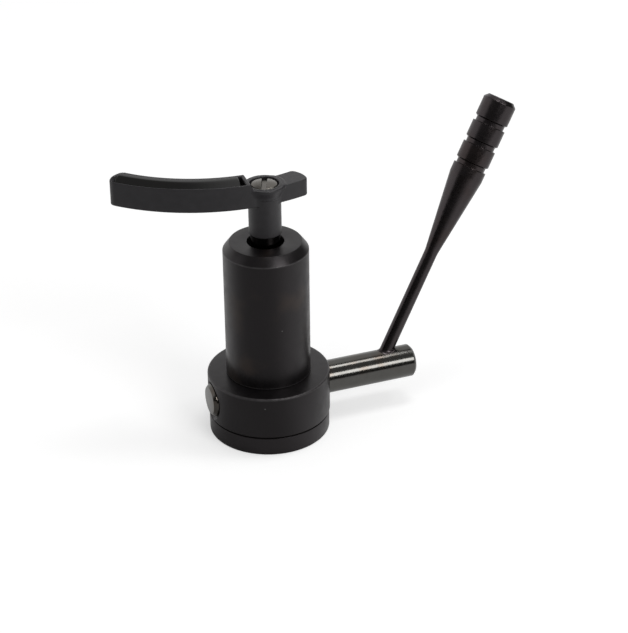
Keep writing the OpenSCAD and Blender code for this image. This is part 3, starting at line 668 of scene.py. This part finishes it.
def make_arm():
    """Arm and strip, on grids that are finer at both ends of the tray and at the hub."""
    axes = (steps_between((TRAY_END - 0.2, TRAY_END + 2.0, 0.11),
                          (TRAY_END + 2.0, TRAY_START - 2.0, 0.40), (TRAY_START - 2.0, 6.8, 0.11)),
            steps_between((-3.2, 3.2, 0.1067)),
            steps_between((33.1, 38.3, 0.26), (38.3, 42.6, 0.1)))
    mesh = surface_net("arm_moulded", arm_field, axes, bar_to_space)
    add_piece("arm_moulded", mesh, "arm", ["lift_arm"], ARM_PLASTIC)
    axes = (steps_between((TRAY_END + 0.4, TRAY_END + 2.4, 0.10),
                          (TRAY_END + 2.4, TRAY_START - 1.8, 0.40),
                          (TRAY_START - 1.8, TRAY_START - 1.0, 0.08)),
            steps_between((-1.4, 1.4, 0.08)),
            steps_between((39.7, 41.5, 0.3), (41.5, 42.6, 0.08)))
    mesh = surface_net("strip_crowned", strip_field, axes, bar_to_space)
    add_piece("strip_crowned", mesh, "arm", ["rubber_strip"], STRIP_RUBBER)


def screw_field(x, y, z):
    ro = np.hypot(x, y)
    top = z - (HEAD_Z + HEAD_H - HEAD_DOME * (ro / HEAD_R) ** 2)
    head = both(both(ro - HEAD_R, top, 0.22), HEAD_Z - z, 0.05)
    shank = both(ro - SHANK_R, np.abs(z - SHANK_MIDDLE) - SHANK_HALF, 0.1)
    a = math.radians(SLOT_TURN)
    across = -x * math.sin(a) + y * math.cos(a)
    slot = both(np.abs(across) - SLOT_HALF, HEAD_Z + HEAD_H - SLOT_DEPTH - z)
    return both(np.minimum(head, shank), -slot, 0.05)


def make_screw():
    r_axis = steps_between((-2.2, 2.2, 0.08))
    z_axis = steps_between((35.4, 40.15, 0.4), (40.15, 41.8, 0.07))
    mesh = surface_net("clamp_screw_domed", screw_field, (r_axis, r_axis, z_axis), lambda p: p)
    add_piece("clamp_screw_domed", mesh, "rod", ["clamp_screw"], SCREW_STEEL)


make_cover()
make_collar()
make_barrel()
make_shaft()
make_lever()
make_arm()
make_screw()

# CAD nodes that keep their own shape
BRASS = metal("bush_and_piston_brass", (0.62, 0.45, 0.20), 0.25, "Z", seed=0.13)
BRIGHT_STEEL = metal("ground_steel", (0.50, 0.50, 0.51), 0.22, "Z", seed=0.17)
SMALL_SCREW_STEEL = metal("small_screw_steel", (0.10, 0.10, 0.11), 0.28, "Z", seed=0.19)
SEAL_RUBBER = moulded("seal_rubber", (0.016, 0.016, 0.016), 0.55, 0.0002, 0.2)
WASHER_PLASTIC = moulded("washer_plastic", (0.74, 0.72, 0.66), 0.40, 0.0002, 0.15)
FINISH = {
    "cover_screws": SMALL_SCREW_STEEL, "lever_set_screw": SMALL_SCREW_STEEL,
    "rod_bush": BRASS, "piston": BRASS,
    "return_spring": BRIGHT_STEEL, "cam_follower": BRIGHT_STEEL,
    "lift_cam": BRIGHT_STEEL, "cam_pin": BRIGHT_STEEL, "piston_rod": ROD_STEEL,
    "rod_seal": SEAL_RUBBER, "shaft_o_rings": SEAL_RUBBER, "thrust_washers": WASHER_PLASTIC,
}
for name, mat in FINISH.items():
    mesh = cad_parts[name].data
    mesh.materials.clear()
    mesh.materials.append(mat)


# ------------------------------------------------------------------ floor, world and lamps
def make_floor():
    """Pale paper; to the pieces it also glows, brighter behind them and on their right, a painted
    light that they catch.
    """
    half = 2.0
    corners = [(-half, -half, 0), (half, -half, 0), (half, half, 0), (-half, half, 0)]
    mesh = bpy.data.meshes.new("floor")
    mesh.from_pydata(corners, [], [(0, 1, 2, 3)])
    floor = bpy.data.objects.new("floor", mesh)
    bpy.context.scene.collection.objects.link(floor)
    mat = bpy.data.materials.new("floor_paper")
    mat.use_nodes = True
    mat.node_tree.nodes.clear()
    tree = Tree(mat.node_tree)
    paper = tree.n("ShaderNodeBsdfDiffuse", {"Color": rgb(0.50)})
    outwards = tree.vector("NORMALIZE", tree.n("ShaderNodeTexCoord", out=3))
    to_back = tree.vector("DOT_PRODUCT", outwards, (0.714, 0.70, 0.0), out=1)
    # painted light: the floor glows to everything but the camera, brighter towards the back and
    # right
    painted_glow = tree.ramp(to_back, -0.9, -0.05, 0.0, 0.36, smooth=True)
    painted_glow = tree.n("ShaderNodeEmission", {"Color": rgb(1.0), "Strength": painted_glow})
    around = tree.n("ShaderNodeAddShader", {0: paper, 1: painted_glow})
    lit = tree.n("ShaderNodeBsdfDiffuse", {"Color": rgb(0.70)})
    glow = tree.n("ShaderNodeEmission", {"Color": rgb(1.0), "Strength": 0.50})
    seen = tree.n("ShaderNodeAddShader", {0: lit, 1: glow})
    camera_ray = tree.n("ShaderNodeLightPath", out="Is Camera Ray")
    shade = tree.n("ShaderNodeMixShader", {0: camera_ray, 1: around, 2: seen})
    tree.n("ShaderNodeOutputMaterial", {"Surface": shade})
    mesh.materials.append(mat)


def make_world():
    """White to the camera; mirrored, a dark room with a pale sweep behind; soft light elsewhere."""
    world = bpy.data.worlds.new("studio")
    bpy.context.scene.world = world
    world.use_nodes = True
    world.node_tree.nodes.clear()
    tree = Tree(world.node_tree)
    sep = tree.t.nodes.new("ShaderNodeSeparateXYZ")
    put(tree.t, sep.inputs[0], tree.n("ShaderNodeTexCoord", out="Generated"))
    behind = tree.math("SUBTRACT", sep.outputs["Y"], tree.math("MULTIPLY", sep.outputs["X"], 0.31))
    sweep = tree.ramp(behind, 0.12, 0.36, 0.0, 1.0, smooth=True)
    above = tree.ramp(sep.outputs["Z"], 0.55, 0.78, 0.0, 1.0, smooth=True)
    aside = tree.ramp(sep.outputs["X"], 0.06, 0.26, 0.95, 0.0, smooth=True)
    kept = tree.math("SUBTRACT", 1.0, tree.math("MULTIPLY", above, aside))
    sweep = tree.math("MULTIPLY", sweep, kept)
    backdrop = tree.ramp(sep.outputs["Z"], 0.05, 0.55, 0.95, 0.60, smooth=True)
    room = tree.ramp(sep.outputs["Z"], 0.2, 0.8, 0.045, 0.20, smooth=True)
    level = tree.math("ADD", tree.math("MULTIPLY", sweep, backdrop), room)
    soft = tree.n("ShaderNodeBackground", {"Color": rgb(1.0), "Strength": 0.40})
    mirrored = tree.n("ShaderNodeBackground", {"Color": rgb(1.0), "Strength": level})
    white = tree.n("ShaderNodeBackground", {"Color": rgb(1.0), "Strength": 1.0})
    glossy_ray = tree.n("ShaderNodeLightPath", out="Is Glossy Ray")
    camera_ray = tree.n("ShaderNodeLightPath", out="Is Camera Ray")
    shade = tree.n("ShaderNodeMixShader", {0: glossy_ray, 1: soft, 2: mirrored})
    shade = tree.n("ShaderNodeMixShader", {0: camera_ray, 1: shade, 2: white})
    tree.n("ShaderNodeOutputWorld", {"Surface": shade})


LAMP_AIM, LAMP_DISTANCE = Vector((0.01, 0, 0.02)), 1.0


def lamp(name, direction, size_x, size_y, radiance):
    """Rectangular lamp in a direction from the part, with its long side towards X."""
    data = bpy.data.lights.new(name, "AREA")
    data.shape = "RECTANGLE"
    data.size, data.size_y = size_x, size_y
    data.energy = radiance * math.pi * size_x * size_y
    ob = bpy.data.objects.new(name, data)
    bpy.context.scene.collection.objects.link(ob)
    away = Vector(direction).normalized()
    side = (Vector((1, 0, 0)) - away * away.x).normalized()
    pose = Matrix((side, away.cross(side), away)).transposed().to_4x4()
    pose.translation = LAMP_AIM + away * LAMP_DISTANCE
    ob.matrix_world = pose


make_floor()
make_world()
lamp("overhead", (0.20, 0.02, 0.98), 0.42, 0.24, 6.2)
lamp("front", (0.28, -0.79, 0.54), 0.50, 0.31, 6.3)
lamp("right", (0.60, -0.15, 0.78), 0.20, 0.20, 5.0)
